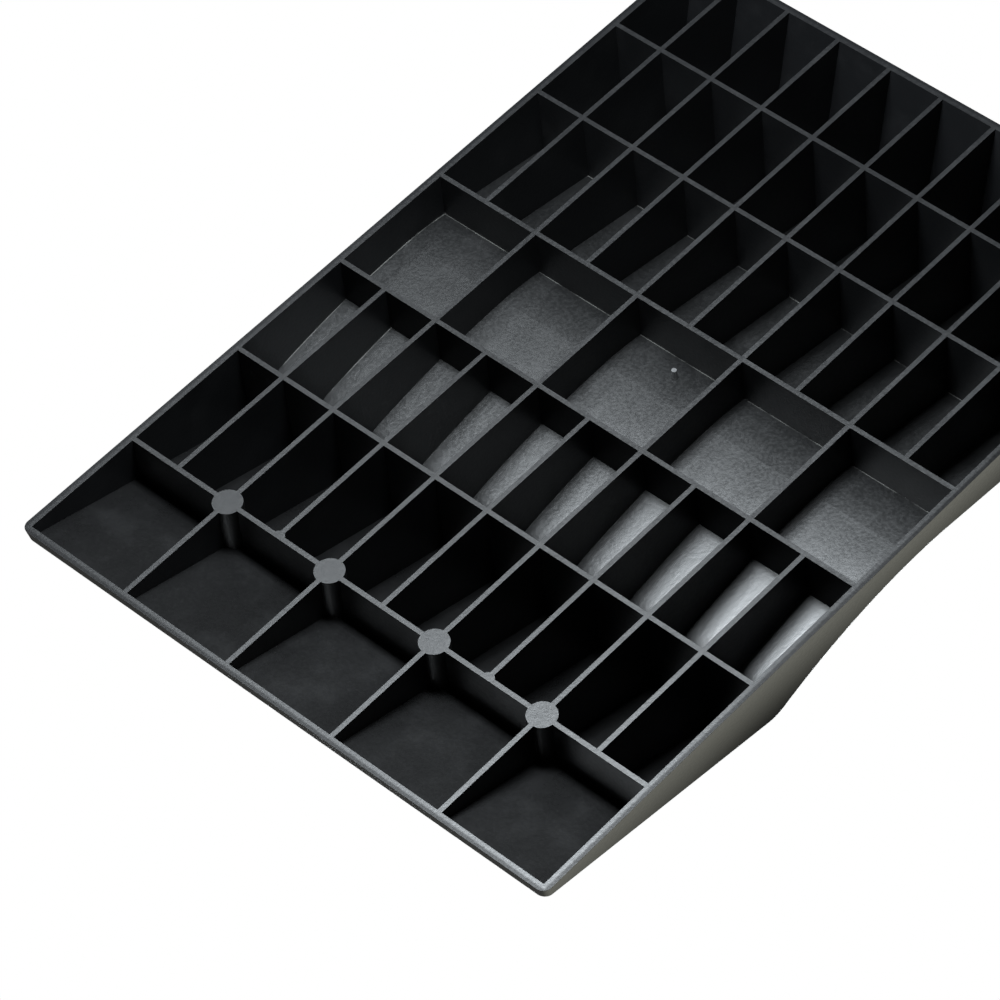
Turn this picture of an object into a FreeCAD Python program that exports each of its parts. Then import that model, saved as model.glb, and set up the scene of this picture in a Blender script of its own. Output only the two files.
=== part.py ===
import FreeCAD, Part
import math
import os

from FreeCAD import Vector

# Drive-on ramp leveler for a caravan wheel, moulded in black plastic.
# It stands on the rim of its rib grid at z = 0, with the deck on top.
# The origin is under the middle of the base. +X runs from the thin toe edge,
# where the wheel drives on, to the tall end stop. Lengths are in millimetres.

# Base rectangle and rib grid
WIDTH = 305.0
RIB_PITCH = WIDTH / 10            # between neighbouring lengthways ribs
LONG_ROW = 66.7                   # toe row and the next four rows
SHORT_ROW = 54.9                  # the two rows under the end stop
WALL = 3.6                        # rim of the outer walls
RIB = 2.3
DECK = 2.2                        # thickness of the deck skin
LENGTH = 5 * LONG_ROW + 2 * SHORT_ROW + WALL
DRAFT = 0.22                      # inward lean of the outer walls, per mm of height
CORNER_R = 4.5
TOP_EDGE_R = 1.6

# Deck profile, x measured from the toe edge
TOE_HEIGHT = 7.5
RAMP_ANGLE = math.radians(16.9)
CREST_R = 8.0
FALL_R = 40.0                     # hollow just behind the crest
FALL_ANGLE = math.radians(12.0)   # slope where that hollow eases into the cradle
ENTRY_R = 400.0                   # cradle, from the hollow to its lowest point
CRADLE_R = 131.0                  # cradle, from its lowest point on
CRADLE_X = 241.3                  # lowest point of the wheel cradle
CRADLE_Z = 24.8
CHEEK_CREST_R = 12.0              # the side walls stand proud behind the crest
RISE_ANGLE = math.radians(10.5)
STOP_R = 45.0
STOP_Z = 58.0                     # level land on top of the end stop

# Round posts where the first cross rib meets the main ribs
BOSS_R = 6.9
PAD_R = 3.0                       # small pads behind the first cross rib
GATE_TIP_R = 1.2                  # tapered stub left where the mould was filled
GATE_BASE_R = 1.8
GATE_HEIGHT = 4.0
GATE_X = 255.0

# Grip bars on the deck
TREAD_HEIGHT = 1.2
TREAD_WIDTH = 3.2
TREAD_PITCH = 11.0
TREAD_SIDE_GAP = 22.0             # from the base edge to the first bar
LANE_GAP = 7.0                    # between the three lanes of bars

TOE_X = -LENGTH / 2
END_X = LENGTH / 2
HALF_WIDTH = WIDTH / 2
SKY = 120.0                       # higher than anything on the part
REACH = 40.0                      # how far cutting tools pass the part


def from_toe(distance):
    return TOE_X + distance


def direction(angle):
    return Vector(math.cos(angle), 0, math.sin(angle))


def upward_normal(angle):
    return Vector(-math.sin(angle), 0, math.cos(angle))


def box(x0, x1, y0, y1, z0, z1):
    return Part.makeBox(x1 - x0, y1 - y0, z1 - z0, Vector(x0, y0, z0))


def cradle_centre(radius):
    """Centre of a cradle arc that touches the lowest point of the cradle."""
    return Vector(from_toe(CRADLE_X), 0, CRADLE_Z + radius)


def fall_centre():
    """Centre of the hollow behind the crest: it rolls inside the entry arc."""
    return cradle_centre(ENTRY_R) - upward_normal(-FALL_ANGLE) * (ENTRY_R - FALL_R)


def crest_centre(crest_r, hollow, hollow_r):
    """Centre of a crest arc: tangent to the ramp line and to the hollow behind it."""
    start = Vector(TOE_X, 0, TOE_HEIGHT) - upward_normal(RAMP_ANGLE) * crest_r
    along = direction(RAMP_ANGLE)
    to_start = start - hollow
    half_b = to_start.dot(along)
    gap = to_start.dot(to_start) - (hollow_r + crest_r) ** 2
    return start + along * (-half_b - math.sqrt(half_b ** 2 - gap))


def deck_crest():
    return crest_centre(CREST_R, fall_centre(), FALL_R)


def arc(centre, start, end):
    to_middle = (start - centre) + (end - centre)
    middle = centre + to_middle.normalize() * (start - centre).Length
    return Part.Arc(start, middle, end).toShape()


def ramp_and_crest(depth, crest, crest_r, hollow):
    """The ramp line and a crest arc, which ends where the hollow begins."""
    crest_in = crest + upward_normal(RAMP_ANGLE) * (crest_r - depth)
    crest_out = crest + (hollow - crest).normalize() * (crest_r - depth)
    ramp_foot = crest_in - direction(RAMP_ANGLE) * (LENGTH / 2)
    return [Part.makeLine(ramp_foot, crest_in), arc(crest, crest_in, crest_out)]


def rise_and_stop(depth):
    """From the lowest point of the cradle up to the land on the end stop."""
    cradle = cradle_centre(CRADLE_R)
    up = Vector(0, 0, 1)
    rise_normal = upward_normal(RISE_ANGLE)
    rise_start = cradle - rise_normal * CRADLE_R
    stop_z = STOP_Z - STOP_R
    lift = (stop_z + STOP_R * math.cos(RISE_ANGLE) - rise_start.z) / math.sin(RISE_ANGLE)
    stop = rise_start + direction(RISE_ANGLE) * lift - rise_normal * STOP_R

    cradle_low = cradle - up * (CRADLE_R + depth)
    cradle_out = cradle - rise_normal * (CRADLE_R + depth)
    stop_in = stop + rise_normal * (STOP_R - depth)
    stop_out = stop + up * (STOP_R - depth)
    return [
        arc(cradle, cradle_low, cradle_out),
        Part.makeLine(cradle_out, stop_in),
        arc(stop, stop_in, stop_out),
        Part.makeLine(stop_out, Vector(END_X + REACH, 0, stop_out.z)),
    ]


def first_point(edges):
    return edges[0].Vertexes[0].Point


def last_point(edges):
    return edges[-1].Vertexes[-1].Point


def deck_edges(depth):
    """The deck line from toe to end stop, moved down square to itself by depth."""
    fall = fall_centre()
    entry = cradle_centre(ENTRY_R)
    front = ramp_and_crest(depth, deck_crest(), CREST_R, fall)
    rear = rise_and_stop(depth)
    fall_end = entry - upward_normal(-FALL_ANGLE) * (ENTRY_R + depth)
    hollow = [
        arc(fall, last_point(front), fall_end),
        arc(entry, fall_end, first_point(rear)),
    ]
    return front + hollow + rear


def cheek_edges():
    """Top line of the side walls: one deep hollow behind a higher crest."""
    cradle = cradle_centre(CRADLE_R)
    crest = crest_centre(CHEEK_CREST_R, cradle, CRADLE_R)
    front = ramp_and_crest(0.0, crest, CHEEK_CREST_R, cradle)
    rear = rise_and_stop(0.0)
    return front + [arc(cradle, last_point(front), first_point(rear))] + rear


def space_below(line, lift=0.0):
    """Everything under a line, as wide as the cutting tools reach."""
    start = first_point(line)
    end = last_point(line)
    floor_end = Vector(end.x, 0, -REACH)
    floor_start = Vector(start.x, 0, -REACH)
    closing = [
        Part.makeLine(end, floor_end),
        Part.makeLine(floor_end, floor_start),
        Part.makeLine(floor_start, start),
    ]
    face = Part.Face(Part.Wire(line + closing))
    half = HALF_WIDTH + REACH
    face.translate(Vector(0, -half, lift))
    return face.extrude(Vector(0, 2 * half, 0))


def leaning_block(side_inset, toe_inset, end_inset):
    """A block on the base plane: the right side is upright, the others lean inward."""
    x0 = TOE_X + toe_inset
    x1 = END_X - end_inset
    half = HALF_WIDTH - side_inset
    lean = DRAFT * SKY

    def side_view(x, z):
        return Vector(x, -half, z)

    def end_view(y, z):
        return Vector(x0, y, z)

    side = [side_view(x0, 0), side_view(x1, 0), side_view(x1 - lean, SKY), side_view(x0 + lean, SKY)]
    end = [end_view(-half, 0), end_view(half, 0), end_view(half - lean, SKY), end_view(-half, SKY)]
    along_y = Part.Face(Part.makePolygon(side + side[:1])).extrude(Vector(0, 2 * half, 0))
    along_x = Part.Face(Part.makePolygon(end + end[:1])).extrude(Vector(x1 - x0, 0, 0))
    return along_y.common(along_x).Solids[0]


def is_upright(edge):
    return edge.BoundBox.ZLength > 0.8 * edge.Length


def round_corners(block, radius):
    return block.makeFillet(radius, [edge for edge in block.Edges if is_upright(edge)])


def round_top(body, block):
    """Soften the outer edge where the deck turns down into the walls."""
    walls = Part.makeCompound([face for face in block.Faces if face.BoundBox.ZLength > 1.0])

    def is_on_walls(edge):
        middle = edge.valueAt((edge.FirstParameter + edge.LastParameter) / 2)
        return Part.Vertex(middle).distToShape(walls)[0] < 0.01

    outline = []
    for edge in body.Edges:
        if edge.BoundBox.ZMax > 1.0 and not is_upright(edge) and is_on_walls(edge):
            outline.append(edge)
    return body.makeFillet(TOP_EDGE_R, outline)


def cross_rib_x(number):
    """Middle of cross rib 1 to 6, counted from the toe."""
    if number <= 5:
        return from_toe(number * LONG_ROW)
    return from_toe(5 * LONG_ROW + SHORT_ROW)


def rib_y(number):
    """Middle of lengthways rib 1 to 9, counted from the right-hand wall."""
    return (number - 5) * RIB_PITCH


def single(shape):
    """The one solid of a boolean result, cleaned of split faces."""
    solids = shape.removeSplitter().Solids
    if len(solids) != 1:
        raise ValueError("expected one solid, found %d" % len(solids))
    return solids[0]


def group(shapes):
    solids = []
    for shape in shapes:
        solids.extend(shape.Solids)
    return Part.makeCompound(solids)


outer_block = round_corners(leaning_block(0.0, 0.0, 0.0), CORNER_R)
outer = round_top(outer_block.common(space_below(cheek_edges())).Solids[0], outer_block)
deck_space = space_below(deck_edges(0.0))
inner = leaning_block(WALL, WALL, WALL).common(space_below(deck_edges(DECK))).Solids[0]


def skin_parts():
    """The side walls, and between them the toe lip, the end wall and the deck panels."""
    between_sides = leaning_block(WALL, -REACH, -REACH)
    ahead_of_toe = leaning_block(-REACH, WALL, -REACH)
    before_end = leaning_block(-REACH, -REACH, WALL)
    walls = outer.cut(between_sides)
    middle = outer.common(between_sides).common(deck_space).cut(inner)
    panels = middle.common(ahead_of_toe).common(before_end)
    parts = {
        "toe_lip": single(middle.cut(ahead_of_toe)),
        "end_wall": single(middle.cut(before_end)),
        "right_side_wall": single(walls.common(box(TOE_X, END_X, -HALF_WIDTH, 0, 0, SKY))),
        "left_side_wall": single(walls.common(box(TOE_X, END_X, 0, HALF_WIDTH, 0, SKY))),
    }
    names = ["entry_ramp_deck", "crest_deck", "cradle_deck", "rising_deck", "end_stop_deck"]
    cuts = [TOE_X, cross_rib_x(2), cross_rib_x(3), cross_rib_x(4), cross_rib_x(6), END_X]
    for name, x0, x1 in zip(names, cuts, cuts[1:]):
        parts[name] = single(panels.common(box(x0, x1, -HALF_WIDTH, HALF_WIDTH, 0, SKY)))
    return parts


def boss(y):
    post = Part.makeCylinder(BOSS_R, SKY, Vector(cross_rib_x(1), y, 0))
    return single(post.common(inner))


def ejector_pad(y):
    """Half-round pad in the corner behind the first cross rib."""
    x = cross_rib_x(1)
    post = Part.makeCylinder(PAD_R, SKY, Vector(x, y, 0))
    behind = box(x + RIB / 2, x + REACH, y - REACH, y + REACH, 0, SKY)
    return single(post.common(behind).common(inner))


def cross_plate(number):
    x = cross_rib_x(number)
    return inner.common(box(x - RIB / 2, x + RIB / 2, -HALF_WIDTH, HALF_WIDTH, 0, SKY))


def long_plate(number, x0, x1):
    y = rib_y(number)
    return inner.common(box(x0, x1, y - RIB / 2, y + RIB / 2, 0, SKY))


def lap_height(number):
    """Half the height of a cross rib: it fills the lower half of each crossing."""
    return cross_plate(number).BoundBox.ZMax / 2


def crossing(cross, rib, z0, z1):
    x = cross_rib_x(cross)
    y = rib_y(rib)
    return box(x - RIB / 2, x + RIB / 2, y - RIB / 2, y + RIB / 2, z0, z1)


MAIN_RIBS = [2, 4, 6, 8]          # run the whole length of the grid
HALF_RIBS = [1, 3, 5, 7, 9]       # only under the crest and under the rise
PAD_RIBS = [3, 7]                 # half ribs that start at an ejector pad
CRADLE_ROW = (3, 4)               # cross ribs either side of the open cradle row


def cross_ribs(bosses):
    """Six plates across the grid, slotted from above for the lengthways ribs."""
    parts = {}
    first = cross_plate(1)
    for post in bosses:
        first = first.cut(post)
    parts["cross_rib_1"] = group([first])
    for number in range(2, 7):
        plate = cross_plate(number)
        ribs = list(MAIN_RIBS)
        if number not in CRADLE_ROW:
            ribs += HALF_RIBS
        for rib in ribs:
            plate = plate.cut(crossing(number, rib, lap_height(number), SKY))
        parts["cross_rib_%d" % number] = single(plate)
    return parts


def slotted(plate, rib, crossings):
    """Slot a lengthways rib from below where it sits over cross ribs."""
    for number in crossings:
        plate = plate.cut(crossing(number, rib, 0, lap_height(number)))
    return single(plate)


def long_ribs(bosses, pads):
    parts = {}
    for index, rib in enumerate(MAIN_RIBS):
        toe_plate = long_plate(rib, TOE_X, cross_rib_x(1))
        parts["toe_rib_%d" % (index + 1)] = single(toe_plate.cut(bosses[index]))
        main_plate = long_plate(rib, cross_rib_x(1), END_X).cut(bosses[index])
        parts["main_rib_%d" % (index + 1)] = slotted(main_plate, rib, range(2, 7))
    for index, rib in enumerate(HALF_RIBS):
        front = long_plate(rib, cross_rib_x(1) + RIB / 2, cross_rib_x(3) - RIB / 2)
        for pad in pads:
            front = front.cut(pad)
        parts["front_half_rib_%d" % (index + 1)] = slotted(front, rib, [2])
        rear = long_plate(rib, cross_rib_x(4) + RIB / 2, END_X)
        parts["rear_half_rib_%d" % (index + 1)] = slotted(rear, rib, [5, 6])
    return parts


def gate_vestige():
    """Tapered stub under the cradle deck, on the middle line."""
    tip = Vector(from_toe(GATE_X), 0, CRADLE_Z - DECK - GATE_HEIGHT)
    taper = (GATE_BASE_R - GATE_TIP_R) / GATE_HEIGHT
    height = 2 * GATE_HEIGHT
    stub = Part.makeCone(GATE_TIP_R, GATE_TIP_R + taper * height, height, tip)
    return single(stub.common(inner))


def tread_bars(x_start, x_end):
    """Short grip bars in three lanes, the middle lane set back by half a pitch."""
    layer = space_below(deck_edges(0.0), TREAD_HEIGHT).cut(deck_space)
    lane = (WIDTH - 2 * TREAD_SIDE_GAP - 2 * LANE_GAP) / 3
    bars = []
    for column in range(3):
        y0 = -HALF_WIDTH + TREAD_SIDE_GAP + column * (lane + LANE_GAP)
        shift = TREAD_PITCH / 2 if column == 1 else 0.0
        x = x_start + shift
        while x + TREAD_WIDTH <= x_end:
            bars.append(layer.common(box(x, x + TREAD_WIDTH, y0, y0 + lane, 0, SKY)))
            x += TREAD_PITCH
    return group(bars)


def treads():
    crest_x = deck_crest().x
    return {
        "entry_treads": tread_bars(TOE_X + 14.0, crest_x - 6.0),
        "cradle_treads": tread_bars(crest_x + 29.0, from_toe(CRADLE_X) + 35.0),
        "rising_treads": tread_bars(from_toe(CRADLE_X) + 41.0, END_X - 62.0),
    }


def build():
    bosses = [boss(rib_y(rib)) for rib in MAIN_RIBS]
    pads = [ejector_pad(rib_y(rib)) for rib in PAD_RIBS]
    parts = skin_parts()
    parts.update(cross_ribs(bosses))
    parts.update(long_ribs(bosses, pads))
    for index, post in enumerate(bosses):
        parts["support_boss_%d" % (index + 1)] = post
    parts["ejector_pads"] = group(pads)
    parts["gate_vestige"] = gate_vestige()
    parts.update(treads())
    return parts


os.makedirs("parts", exist_ok=True)
for name, shape in build().items():
    if not shape.isValid():
        raise ValueError("%s is not a valid solid" % name)
    shape.exportStep("parts/%s.step" % name)
    print("%-20s %3d solids %10.1f mm3" % (name, len(shape.Solids), shape.Volume))
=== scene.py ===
import math

import bpy
from mathutils import Matrix, Vector


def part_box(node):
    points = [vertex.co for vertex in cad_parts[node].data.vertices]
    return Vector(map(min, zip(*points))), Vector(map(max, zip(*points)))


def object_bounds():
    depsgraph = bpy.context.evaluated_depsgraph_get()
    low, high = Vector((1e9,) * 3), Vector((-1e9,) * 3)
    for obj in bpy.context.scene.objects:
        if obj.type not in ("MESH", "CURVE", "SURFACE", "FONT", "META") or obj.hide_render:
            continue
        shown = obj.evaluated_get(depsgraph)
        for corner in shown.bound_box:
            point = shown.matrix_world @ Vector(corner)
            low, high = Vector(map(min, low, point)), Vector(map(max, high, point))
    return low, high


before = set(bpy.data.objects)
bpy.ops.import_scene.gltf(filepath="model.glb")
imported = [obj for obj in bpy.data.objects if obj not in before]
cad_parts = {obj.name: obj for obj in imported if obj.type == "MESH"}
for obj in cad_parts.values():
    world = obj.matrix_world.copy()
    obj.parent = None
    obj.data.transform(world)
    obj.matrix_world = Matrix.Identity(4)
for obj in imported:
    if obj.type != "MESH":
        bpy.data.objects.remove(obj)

cad_low, cad_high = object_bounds()

# Lengths are in metres, but the lens and sensor in millimetres. Noise scales are per metre.
# Places are in the frame's own axes.

# Camera: a long lens below the leveler, looking up at its rib grid, upside down
LENS = 172.5
SENSOR_WIDTH = 36.0
CLIP = (0.05, 100.0)
AIM = Vector((-0.0823, 0.0006, 0.0))
AIM_DISTANCE = 2.0616
LOOK = Vector((0.4295, -0.4704, 0.7709))
PICTURE_UP = Vector((0.6069, -0.4817, -0.6321))

# Base and dusty colour of each plastic
BODY_COLOURS = ((0.0035, 0.0036, 0.0037), (0.009, 0.009, 0.0092))
TREAD_COLOURS = ((0.006, 0.006, 0.0062), (0.02, 0.02, 0.0195))
RAMP_COLOURS = ((0.003, 0.003, 0.0031), (0.007, 0.007, 0.0072))
RIB_COLOURS = ((0.0055, 0.0057, 0.0062), (0.011, 0.0112, 0.0118))
# The gate stub's pale grey is a painted highlight, standing in for the light on its bright tip
GATE_COLOURS = ((0.07, 0.07, 0.071), (0.09, 0.09, 0.09))
DULL_SIDED_NODES = ("right_side_wall", "end_wall")

# Surface of the plastic
IOR = 1.49
SPECULAR = 0.5
RIB_SIDE_SPECULAR = 0.2
ROUGHNESS = 0.36
NOISE_RANGE = (0.3, 0.7)          # most of a noise's values lie between these
FLOW_ROUGHNESS = 0.02
GRAIN_ROUGHNESS = 0.04
DUST_ROUGHNESS = 0.05
FLOW_SCALE = 14.0
FLOW_STRETCH = (1.0, 2.2, 1.0)
FLOW_HEIGHT = 0.0006
FLOW_STRENGTH = 0.25
GRAIN_SCALE = 620.0
GRAIN_HEIGHT = 0.000045
FINE_GRAIN_SCALE = 1900.0
FINE_GRAIN_HEIGHT = 0.000014
DUST_CLOUD_SCALE = 46.0
DUST_CLOUD_RANGE = (0.45, 0.75)
DUST_CLOUD_AMOUNT = 0.5
DUST_SPECK_SCALE = 520.0
DUST_SPECK_RANGE = (0.62, 0.74)
DUST_SPECK_AMOUNT = 0.2
UPRIGHT_NORMAL = (0.3, 0.6)       # a face counts as upright as its normal's Z falls through these
DOWNWARD_NORMAL = (-0.5, -0.3)    # and as facing down below these

# Rims that the leveler stands on: scuffed, and with painted shade along the outline, where less shine
# stands in for a rounded edge
RIM_DEPTH = (0.0003, 0.0009)      # scuffs fade out between these heights
SCUFF_SCALE = 330.0
SCUFF_RANGE = (0.25, 0.6)
LEAST_SCUFFED = 0.55
SCUFFED = (0.009, 0.009, 0.0093)
RIM_FADE_X = (-0.02, 0.06)            # the rims are lighter on the toe half and fade towards the end stop
RIM_FADE_LEAST = 0.15
RIM_SPECULAR = 0.35
EDGE_SPECULAR = 0.14
EDGE_WIDTH = (0.0025, 0.0011)     # the duller edge starts and is full this far inside the outline

# Painted highlight: lighter lines in the base colour where the deck meets the foot of some ribs and of
# the right-hand wall
GLINT = (0.055, 0.055, 0.052)
GLINT_WIDTH = 0.00045
GLINT_SOFT = 0.0001
GLINT_SOFT_Z = 0.0002
GLINT_SOFT_END = 0.002
GLINT_DROP = 0.0011               # a line lies at most this far below the top of its rib
GLINT_START_X = -0.066            # the lengthways lines begin here, behind the crest
GLINT_TOP_Z = 0.033
GLINT_BREAKS = (0.40, 0.56)       # the lines fade where the dust cloud noise falls through these
FAINTEST_GLINT = 0.08
ACROSS_GLINTS = ("cross_rib_4", "cross_rib_5")
LENGTHWAYS_GLINTS = (("right_side_wall", "cross_rib_4"), ("front_half_rib_1", "cross_rib_3"))

# Fill light from the surroundings: by height of its direction, and stronger from one side
FILL_BELOW = 0.03
FILL_ABOVE = 0.30
FILL_HEIGHTS = (-0.2, 0.6)
FILL_FROM = (0.5, 0.87, 0.0)
FILL_SIDES = (-0.6, 0.6)
FILL_SIDE_FACTORS = (0.3, 1.7)
FILL_COLOUR = (1.0, 1.0, 0.95, 1.0)
WHITE = (1.0, 1.0, 1.0, 1.0)

# Bank of softboxes under the grid
LIGHT_COLOUR = (0.93, 1.0, 1.05)
PANE = 0.16
PANE_Z = -0.8

# Glowing card beside the left-hand wall, just above the top of the deck; its glow fades out close to the
# leveler as a painted shadow
CARD_X = cad_high.x + 0.0966
CARD_Y = (cad_high.y - 0.0145, cad_high.y + 0.1075)
CARD_Z = cad_high.z + 0.0042
CARD_FADE = (cad_high.y - 0.0145, cad_high.y + 0.0275)
CARD_RADIANCE = 1.3
CARD_COLOUR = (1.0, 1.0, 0.86, 1.0)

# Floor, which fades into the white around it between two distances
FLOOR_COLOUR = (0.82, 0.82, 0.82, 1.0)
FLOOR_GAP = 0.0004
FLOOR_HALF = 30.0
FLOOR_FADE = (0.7, 2.2)


# ---------------------------------------------------------------- materials

class Nodes:
    """A material's node tree, with short calls to add and join nodes."""

    def __init__(self, name):
        self.material = bpy.data.materials.new(name)
        self.material.use_nodes = True
        self.tree = self.material.node_tree
        self.tree.nodes.clear()
        self.output = self.add("ShaderNodeOutputMaterial")
        self.place = self.add("ShaderNodeTexCoord").outputs["Object"]

    def add(self, kind, **values):
        node = self.tree.nodes.new(kind)
        for key, value in values.items():
            if key in node.inputs:
                node.inputs[key].default_value = value
            else:
                setattr(node, key, value)
        return node

    def join(self, source, target):
        self.tree.links.new(source, target)

    def split(self, vector):
        """The X, Y and Z of a vector, by those names."""
        node = self.add("ShaderNodeSeparateXYZ")
        self.join(vector, node.inputs["Vector"])
        return node.outputs

    def noise(self, scale, detail=2.0, roughness=0.5, stretch=(1.0, 1.0, 1.0)):
        mapping = self.add("ShaderNodeMapping", Scale=stretch)
        self.join(self.place, mapping.inputs["Vector"])
        noise = self.add("ShaderNodeTexNoise", Scale=scale, Detail=detail, Roughness=roughness)
        self.join(mapping.outputs["Vector"], noise.inputs["Vector"])
        return noise.outputs["Fac"]

    def span(self, value, low, high, out_low=0.0, out_high=1.0):
        """Maps low..high of a value smoothly to out_low..out_high."""
        node = self.add("ShaderNodeMapRange", interpolation_type="SMOOTHSTEP")
        self.join(value, node.inputs["Value"])
        ends = {"From Min": low, "From Max": high, "To Min": out_low, "To Max": out_high}
        for key, number in ends.items():
            node.inputs[key].default_value = number
        return node.outputs["Result"]

    def band(self, value, low, high, soft):
        """One between low and high, zero outside, with soft ends."""
        rise = self.span(value, low - soft, low)
        fall = self.span(value, high, high + soft, 1.0, 0.0)
        return self.math("MULTIPLY", rise, fall)

    def math(self, operation, a, b=0.0):
        node = self.add("ShaderNodeMath", operation=operation)
        for socket, value in zip(node.inputs, (a, b)):
            if isinstance(value, (int, float)):
                socket.default_value = value
            else:
                self.join(value, socket)
        return node.outputs["Value"]

    def mix(self, amount, a, b):
        node = self.add("ShaderNodeMix", data_type="RGBA")
        self.join(amount, node.inputs["Factor"])
        for socket, value in zip((node.inputs["A"], node.inputs["B"]), (a, b)):
            if isinstance(value, tuple):
                socket.default_value = (*value, 1.0)
            else:
                self.join(value, socket)
        return node.outputs["Result"]

    def mix_shaders(self, amount, a, b):
        node = self.add("ShaderNodeMixShader")
        self.join(amount, node.inputs["Fac"])
        self.join(a, node.inputs[1])
        self.join(b, node.inputs[2])
        return node.outputs["Shader"]

    def bump(self, height, distance, strength, before=None):
        node = self.add("ShaderNodeBump", Distance=distance, Strength=strength)
        self.join(height, node.inputs["Height"])
        if before is not None:
            self.join(before, node.inputs["Normal"])
        return node.outputs["Normal"]

    def front_only(self, shader):
        """The shader on the face's front, and nothing on its back."""
        behind = self.add("ShaderNodeNewGeometry").outputs["Backfacing"]
        clear = self.add("ShaderNodeBsdfTransparent").outputs["BSDF"]
        self.join(self.mix_shaders(behind, shader, clear), self.output.inputs["Surface"])


def glint_lines():
    """The painted highlight lines, each as its limits: axis, lowest, highest, softness."""
    lines = []
    for rib in ACROSS_GLINTS:
        low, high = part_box(rib)
        lines.append([
            ("X", low.x - GLINT_WIDTH, low.x, GLINT_SOFT),
            ("Z", high.z - GLINT_DROP, high.z, GLINT_SOFT_Z)])
    cradle_low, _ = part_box("cradle_deck")
    for side, end in LENGTHWAYS_GLINTS:
        _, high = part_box(side)
        end_low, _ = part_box(end)
        lines.append([
            ("X", GLINT_START_X, end_low.x, GLINT_SOFT_END),
            ("Y", high.y, high.y + GLINT_WIDTH, GLINT_SOFT),
            ("Z", cradle_low.z - GLINT_DROP, GLINT_TOP_Z, GLINT_SOFT_Z)])
    return lines


def foot_glint(n, place, facing_z, broken):
    """Painted highlight: thin lighter lines in the base colour on the underside of the deck, where small
    fillets would catch the light.
    """
    total = 0.0
    for limits in glint_lines():
        line = 1.0
        for axis, low, high, soft in limits:
            line = n.math("MULTIPLY", n.band(place[axis], low, high, soft), line)
        total = n.math("ADD", line, total)
    underside = n.span(facing_z, *DOWNWARD_NORMAL, 1.0, 0.0)
    return n.math("MULTIPLY", n.math("MULTIPLY", total, underside), broken)


def dust_amount(n, cloud):
    """Thin clouds of dust, and a few specks."""
    speck = n.noise(DUST_SPECK_SCALE)
    clouds = n.math("MULTIPLY", n.span(cloud, *DUST_CLOUD_RANGE), DUST_CLOUD_AMOUNT)
    specks = n.math("MULTIPLY", n.span(speck, *DUST_SPECK_RANGE), DUST_SPECK_AMOUNT)
    return n.math("ADD", clouds, specks)


def rim_wear(n, place, on_rim):
    """Scuffs on the rims, uneven; the rims are lighter on the toe half and fade towards the end stop."""
    scuff = n.noise(SCUFF_SCALE, 4.0, 0.65)
    uneven = n.math("MULTIPLY", on_rim, n.span(scuff, *SCUFF_RANGE, LEAST_SCUFFED, 1.0))
    return n.math("MULTIPLY", uneven, n.span(place["X"], *RIM_FADE_X, 1.0, RIM_FADE_LEAST))


def rim_shine(n, place, on_rim, worn):
    """Change of the shine on scuffed rims, and painted shade along the outline: less shine where a
    rounded edge would be.
    """
    start, full = EDGE_WIDTH
    edge_x = n.span(n.math("ABSOLUTE", place["X"]), cad_high.x - start, cad_high.x - full)
    edge_y = n.span(n.math("ABSOLUTE", place["Y"]), cad_high.y - start, cad_high.y - full)
    dulled_outline = n.math("MAXIMUM", edge_y, edge_x)
    change = n.span(dulled_outline, 0.0, 1.0, RIM_SPECULAR - SPECULAR, EDGE_SPECULAR - SPECULAR)
    where = n.math("MAXIMUM", worn, n.math("MULTIPLY", on_rim, dulled_outline))
    return n.math("MULTIPLY", change, where)


def moulded_plastic(name, colours, gloss=0.0, grain_strength=1.0, side_specular=SPECULAR):
    """Black polypropylene: mould grain, flow marks, faint dust, scuffed rims to stand on, and painted
    highlight lines at the feet of some ribs.
    """
    n = Nodes(name)
    place = n.split(n.place)
    facing_z = n.split(n.add("ShaderNodeNewGeometry").outputs["True Normal"])["Z"]
    grain = n.noise(GRAIN_SCALE)
    fine_grain = n.noise(FINE_GRAIN_SCALE, 2.0, 0.6)
    flow = n.noise(FLOW_SCALE, 3.0, 0.55, FLOW_STRETCH)
    cloud = n.noise(DUST_CLOUD_SCALE, 4.0, 0.6)

    dust = dust_amount(n, cloud)
    on_rim = n.span(place["Z"], *RIM_DEPTH, 1.0, 0.0)
    worn = rim_wear(n, place, on_rim)
    broken = n.span(cloud, *GLINT_BREAKS, FAINTEST_GLINT, 1.0)
    glint = foot_glint(n, place, facing_z, broken)
    colour = n.mix(dust, *colours)
    colour = n.mix(worn, colour, SCUFFED)
    # Painted highlight: the glint lines are mixed into the base colour
    colour = n.mix(glint, colour, GLINT)

    smooth = ROUGHNESS - gloss
    grain_change = GRAIN_ROUGHNESS * grain_strength
    rough = n.span(flow, *NOISE_RANGE, smooth - FLOW_ROUGHNESS, smooth + FLOW_ROUGHNESS)
    rough = n.math("ADD", rough, n.span(grain, *NOISE_RANGE, -grain_change, grain_change))
    rough = n.math("ADD", rough, n.math("MULTIPLY", dust, DUST_ROUGHNESS))

    upright = n.span(n.math("ABSOLUTE", facing_z), *UPRIGHT_NORMAL, 1.0, 0.0)
    specular = n.span(upright, 0.0, 1.0, SPECULAR, side_specular)
    specular = n.math("ADD", specular, rim_shine(n, place, on_rim, worn))

    normal = n.bump(flow, FLOW_HEIGHT, FLOW_STRENGTH)
    normal = n.bump(grain, GRAIN_HEIGHT, grain_strength, normal)
    normal = n.bump(fine_grain, FINE_GRAIN_HEIGHT, grain_strength, normal)

    shader = n.add("ShaderNodeBsdfPrincipled", IOR=IOR)
    n.join(colour, shader.inputs["Base Color"])
    n.join(rough, shader.inputs["Roughness"])
    n.join(specular, shader.inputs["Specular IOR Level"])
    n.join(normal, shader.inputs["Normal"])
    n.join(shader.outputs["BSDF"], n.output.inputs["Surface"])
    return n.material


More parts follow.
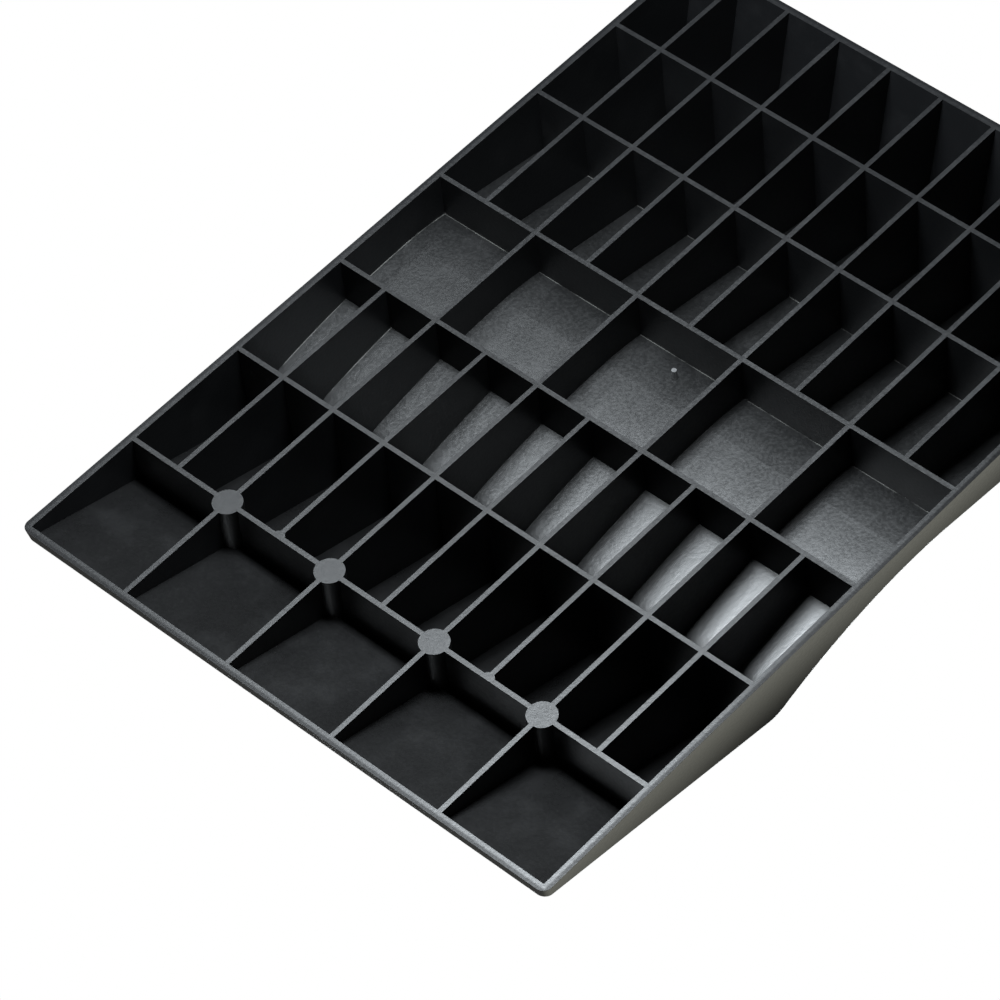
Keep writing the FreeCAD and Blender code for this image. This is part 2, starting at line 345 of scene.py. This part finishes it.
def floor_material():
    """Pale studio floor that is seen from above only and fades into the white around it."""
    n = Nodes("stage_floor")
    radial = n.add("ShaderNodeVectorMath", operation="LENGTH")
    n.join(n.place, radial.inputs[0])
    fade = n.span(radial.outputs["Value"], *FLOOR_FADE)
    pale = n.add("ShaderNodeBsdfDiffuse", Color=FLOOR_COLOUR)
    white = n.add("ShaderNodeEmission", Color=WHITE, Strength=1.0)
    n.front_only(n.mix_shaders(fade, pale.outputs["BSDF"], white.outputs["Emission"]))
    return n.material


def card_material():
    """Warm white card whose lower side glows, darker close to the leveler as a painted shadow of the
    leveler.
    """
    n = Nodes("stage_card")
    glow = n.add("ShaderNodeEmission", Color=CARD_COLOUR)
    away = n.split(n.place)["Y"]
    # Painted shadow: the glow fades to nothing near the leveler's wall
    n.join(n.span(away, *CARD_FADE, 0.0, CARD_RADIANCE), glow.inputs["Strength"])
    n.front_only(glow.outputs["Emission"])
    return n.material


def dress_pieces():
    """Gives every piece of the leveler its plastic."""
    body = moulded_plastic("black_moulding", BODY_COLOURS)
    treads = moulded_plastic("black_treads", TREAD_COLOURS, gloss=0.04)
    ramp = moulded_plastic("black_ramp", RAMP_COLOURS, gloss=0.07, grain_strength=0.3)
    ribs = moulded_plastic("black_ribs", RIB_COLOURS, side_specular=RIB_SIDE_SPECULAR)
    # Painted highlight: the gate stub is paler than the rest
    gate = moulded_plastic("black_gate_stub", GATE_COLOURS)
    for node_name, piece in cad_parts.items():
        look = body
        if node_name.endswith("_treads"):
            look = treads
        if "_rib_" in node_name or node_name in DULL_SIDED_NODES:
            look = ribs
        if node_name == "entry_ramp_deck":
            look = ramp
        if node_name == "gate_vestige":
            look = gate
        piece.data.materials.clear()
        piece.data.materials.append(look)


# ---------------------------------------------------------------- stage

def stage_plane(name, corners, material, hidden_from):
    """One flat stage face, which some kinds of rays don't meet."""
    mesh = bpy.data.meshes.new(name)
    mesh.from_pydata(corners, [], [(0, 1, 2, 3)])
    mesh.materials.append(material)
    plane = bpy.data.objects.new(name, mesh)
    bpy.context.scene.collection.objects.link(plane)
    for rays in hidden_from:
        setattr(plane, "visible_" + rays, False)


def make_floor():
    s = FLOOR_HALF
    z = cad_low.z - FLOOR_GAP
    corners = [(-s, -s, z), (s, -s, z), (s, s, z), (-s, s, z)]
    stage_plane("stage_floor", corners, floor_material(), ("diffuse", "glossy", "transmission", "shadow"))


def make_card():
    """Card beside the left-hand wall, facing down, seen in reflections only."""
    x = CARD_X
    y_low, y_high = CARD_Y
    z = CARD_Z
    corners = [(-x, y_low, z), (-x, y_high, z), (x, y_high, z), (x, y_low, z)]
    stage_plane("stage_card", corners, card_material(), ("camera", "diffuse", "transmission", "shadow"))


def softbox(name, place, size, radiance, aim=(0.0, 0.0, 0.0)):
    """An area light of a given radiance, so that its size can change without its glare."""
    light = bpy.data.lights.new(name, "AREA")
    light.shape = "RECTANGLE"
    light.size, light.size_y = size
    light.energy = radiance * math.pi * size[0] * size[1]
    light.color = LIGHT_COLOUR
    lamp = bpy.data.objects.new(name, light)
    bpy.context.scene.collection.objects.link(lamp)
    lamp.location = place
    lamp.rotation_euler = (Vector(aim) - Vector(place)).to_track_quat("-Z", "Y").to_euler()


def under_softbox(name, x, y, radiance):
    """One pane of the bank of softboxes below the rib grid, facing straight up."""
    softbox(name, (x, y, PANE_Z), (PANE, PANE), radiance, aim=(x, y, 0.0))


def make_lights():
    under_softbox("under_middle", 0.0, 0.0, 135.0)
    under_softbox("under_right", 0.0, -0.12, 105.0)
    under_softbox("under_far_right", 0.0, -0.24, 30.0)
    under_softbox("under_end", 0.18, -0.12, 38.0)
    under_softbox("under_end_corner", 0.18, -0.48, 16.0)
    softbox("top_key", place=(0.7, -0.8, 1.3), size=(1.0, 1.0), radiance=10.0)
    softbox("top_rim", place=(-1.0, 1.1, 0.9), size=(1.2, 0.5), radiance=6.0)


class Surroundings:
    """The world's node tree, with short calls for what it needs."""

    def __init__(self, name):
        world = bpy.data.worlds.new(name)
        bpy.context.scene.world = world
        world.use_nodes = True
        self.tree = world.node_tree
        self.tree.nodes.clear()
        self.direction = self.tree.nodes.new("ShaderNodeTexCoord").outputs["Generated"]

    def join(self, source, target):
        self.tree.links.new(source, target)

    def background(self, colour):
        node = self.tree.nodes.new("ShaderNodeBackground")
        node.inputs["Color"].default_value = colour
        return node

    def span(self, value, limits, results):
        """Maps a value evenly between two limits to two results."""
        node = self.tree.nodes.new("ShaderNodeMapRange")
        node.inputs["From Min"].default_value, node.inputs["From Max"].default_value = limits
        node.inputs["To Min"].default_value, node.inputs["To Max"].default_value = results
        self.join(value, node.inputs["Value"])
        return node.outputs["Result"]

    def part_along(self, axis):
        """How far the direction points along an axis."""
        node = self.tree.nodes.new("ShaderNodeVectorMath")
        node.operation = "DOT_PRODUCT"
        node.inputs[1].default_value = axis
        self.join(self.direction, node.inputs[0])
        return node.outputs["Value"]


def make_world():
    """White behind the leveler, and a dimmer soft fill, brighter from above, for its light."""
    world = Surroundings("studio")
    seen = world.background(WHITE)
    fill = world.background(FILL_COLOUR)
    by_height = world.span(world.part_along((0.0, 0.0, 1.0)), FILL_HEIGHTS, (FILL_BELOW, FILL_ABOVE))
    by_side = world.span(world.part_along(FILL_FROM), FILL_SIDES, FILL_SIDE_FACTORS)
    strength = world.tree.nodes.new("ShaderNodeMath")
    strength.operation = "MULTIPLY"
    world.join(by_height, strength.inputs[0])
    world.join(by_side, strength.inputs[1])
    world.join(strength.outputs["Value"], fill.inputs["Strength"])

    path = world.tree.nodes.new("ShaderNodeLightPath")
    choice = world.tree.nodes.new("ShaderNodeMixShader")
    output = world.tree.nodes.new("ShaderNodeOutputWorld")
    world.join(path.outputs["Is Camera Ray"], choice.inputs["Fac"])
    world.join(fill.outputs["Background"], choice.inputs[1])
    world.join(seen.outputs["Background"], choice.inputs[2])
    world.join(choice.outputs["Shader"], output.inputs["Surface"])


def make_camera():
    data = bpy.data.cameras.new("camera")
    data.lens = LENS
    data.sensor_width = SENSOR_WIDTH
    data.clip_start, data.clip_end = CLIP
    camera = bpy.data.objects.new("camera", data)
    bpy.context.scene.collection.objects.link(camera)
    look = LOOK.normalized()
    right = look.cross(PICTURE_UP).normalized()
    up = right.cross(look)
    turn = Matrix((right, up, -look)).transposed().to_4x4()
    camera.matrix_world = Matrix.Translation(AIM - look * AIM_DISTANCE) @ turn
    bpy.context.scene.camera = camera


dress_pieces()
make_floor()
make_card()
make_world()
make_camera()
make_lights()
bpy.context.scene.view_settings.view_transform = "Standard"
